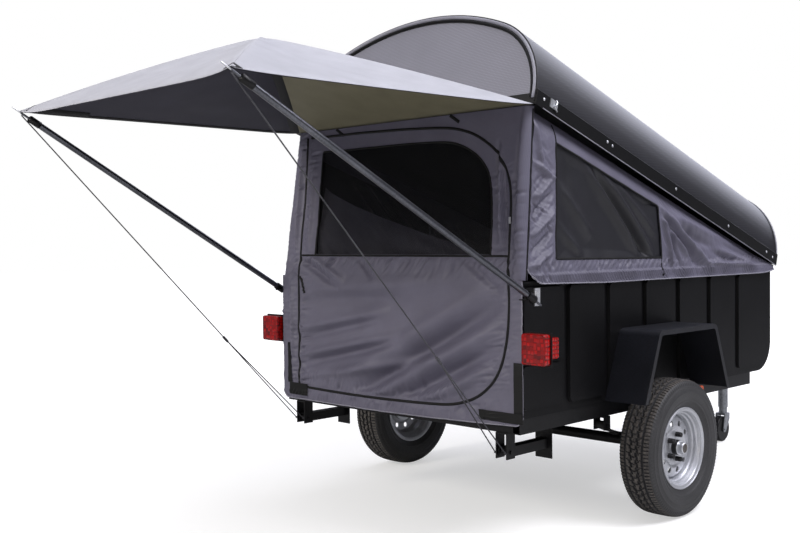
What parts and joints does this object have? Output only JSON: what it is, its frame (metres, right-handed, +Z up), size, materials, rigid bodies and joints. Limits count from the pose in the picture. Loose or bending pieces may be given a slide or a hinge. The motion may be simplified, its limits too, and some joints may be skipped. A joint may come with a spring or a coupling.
{
  "type": "pop-up camper trailer",
  "caption": "Small towed camper: moulded tub on a single-axle frame, arched hard lid hinged at the front, fabric walls with mesh windows and a rear awning on poles.",
  "frame": {"origin": "on the ground, below the middle of the whole length from awning edge to coupler nose", "axes": "+Y forward to the coupler, +X to the trailer's right side, +Z up"},
  "size_m": [1.864, 4.585, 2.2345],
  "materials": {
    "tyre_rubber": "moulded black rubber",
    "wheel_silver": "silver painted steel",
    "hub_zinc": "bright zinc plate",
    "frame_black": "satin black powder coat",
    "spring_black": "black enamel",
    "jack_galvanised": "galvanised",
    "castor_plastic": "moulded black",
    "tub_plastic": "moulded black, fine grain",
    "lid_skin": "satin blue-grey sheet",
    "lid_mesh_grey": "fine textured grey",
    "lid_black": "black edge band",
    "rail_aluminium": "black anodised",
    "pole_aluminium": "satin tube",
    "latch_zinc": "bright zinc plate",
    "lamp_red": "clear red lens",
    "marker_amber": "clear amber lens",
    "wall_fabric": "coated grey polyester",
    "window_mesh": "fine black insect mesh",
    "awning_fabric": "silver-grey coated polyester",
    "stay_cord": "braided black cord"
  },
  "bodies": {
    "chassis": {"axle_beam": "frame_black", "leaf_springs": "spring_black", "spring_hangers": "frame_black", "side_rails": "frame_black", "cross_members": "frame_black", "tongue": "frame_black", "coupler": "frame_black", "coupler_latch": "latch_zinc", "tub_floor": "tub_plastic", "tub_side_left": "tub_plastic", "tub_side_right": "tub_plastic", "tub_front": "tub_plastic", "fender_left": "frame_black", "fender_right": "frame_black", "lamp_plates": "frame_black", "tail_lamps": "lamp_red", "side_lamps": "lamp_red", "rail_markers": "marker_amber", "rear_latches": "latch_zinc", "front_latches": "latch_zinc", "stabiliser_brackets": "frame_black", "jack_mount": "jack_galvanised", "hinge_tub_leaves": "latch_zinc", "side_wall_left": "wall_fabric", "side_wall_right": "wall_fabric", "side_windows": "window_mesh", "rear_wall": "wall_fabric", "rear_window": "window_mesh", "awning_canopy": "awning_fabric", "awning_poles": "pole_aluminium", "pole_sockets": "latch_zinc", "awning_stays": "stay_cord"},
    "wheel_left": {"tyre_left": "tyre_rubber", "wheel_rim_left": "wheel_silver", "hub_left": "hub_zinc"},
    "wheel_right": {"tyre_right": "tyre_rubber", "wheel_rim_right": "wheel_silver", "hub_right": "hub_zinc"},
    "lid": {"lid_shell": "lid_skin", "lid_rear_band": "lid_black", "lid_rear_panel": "lid_mesh_grey", "lid_rear_bar": "lid_black", "lid_rails": "rail_aluminium", "lid_catches": "latch_zinc", "hinge_lid_leaves": "latch_zinc"},
    "stabiliser_left": {"stabiliser_leg_left": "frame_black"},
    "stabiliser_right": {"stabiliser_leg_right": "frame_black"},
    "jack": {"jack_tube": "jack_galvanised", "jack_crank": "jack_galvanised", "jack_leg": "jack_galvanised"},
    "castor_fork": {"castor_fork": "jack_galvanised"},
    "castor_wheel": {"castor_wheel": "castor_plastic"}
  },
  "joints": [
    {"name": "wheel_left_spin", "type": "hinge", "parent": "chassis", "child": "wheel_left", "pos_m": [-0.833, -0.0175, 0.305], "axis": [1, 0, 0], "continuous": true},
    {"name": "wheel_right_spin", "type": "hinge", "parent": "chassis", "child": "wheel_right", "pos_m": [0.833, -0.0175, 0.305], "axis": [1, 0, 0], "continuous": true},
    {"name": "lid_hinge", "type": "hinge", "parent": "chassis", "child": "lid", "pos_m": [0, 1.2378, 1.081], "axis": [1, 0, 0], "range_deg": [0, 17.9], "deforming": ["side_wall_left", "side_wall_right", "side_windows", "rear_wall", "rear_window", "awning_canopy"]},
    {"name": "stabiliser_left_fold", "type": "hinge", "parent": "chassis", "child": "stabiliser_left", "pos_m": [-0.62, -0.9205, 0.388], "axis": [-1, 0, 0], "range_deg": [0, 90]},
    {"name": "stabiliser_right_fold", "type": "hinge", "parent": "chassis", "child": "stabiliser_right", "pos_m": [0.62, -0.9205, 0.388], "axis": [-1, 0, 0], "range_deg": [0, 90]},
    {"name": "jack_swing", "type": "hinge", "parent": "chassis", "child": "jack", "pos_m": [0.19, 1.7175, 0.436], "axis": [1, 0, 0], "range_deg": [0, 90]},
    {"name": "castor_swivel", "type": "hinge", "parent": "jack", "child": "castor_fork", "pos_m": [0.19, 1.7175, 0.165], "axis": [0, 0, 1], "continuous": true},
    {"name": "castor_wheel_spin", "type": "hinge", "parent": "castor_fork", "child": "castor_wheel", "pos_m": [0.19, 1.6835, 0.076], "axis": [1, 0, 0], "continuous": true}
  ]
}
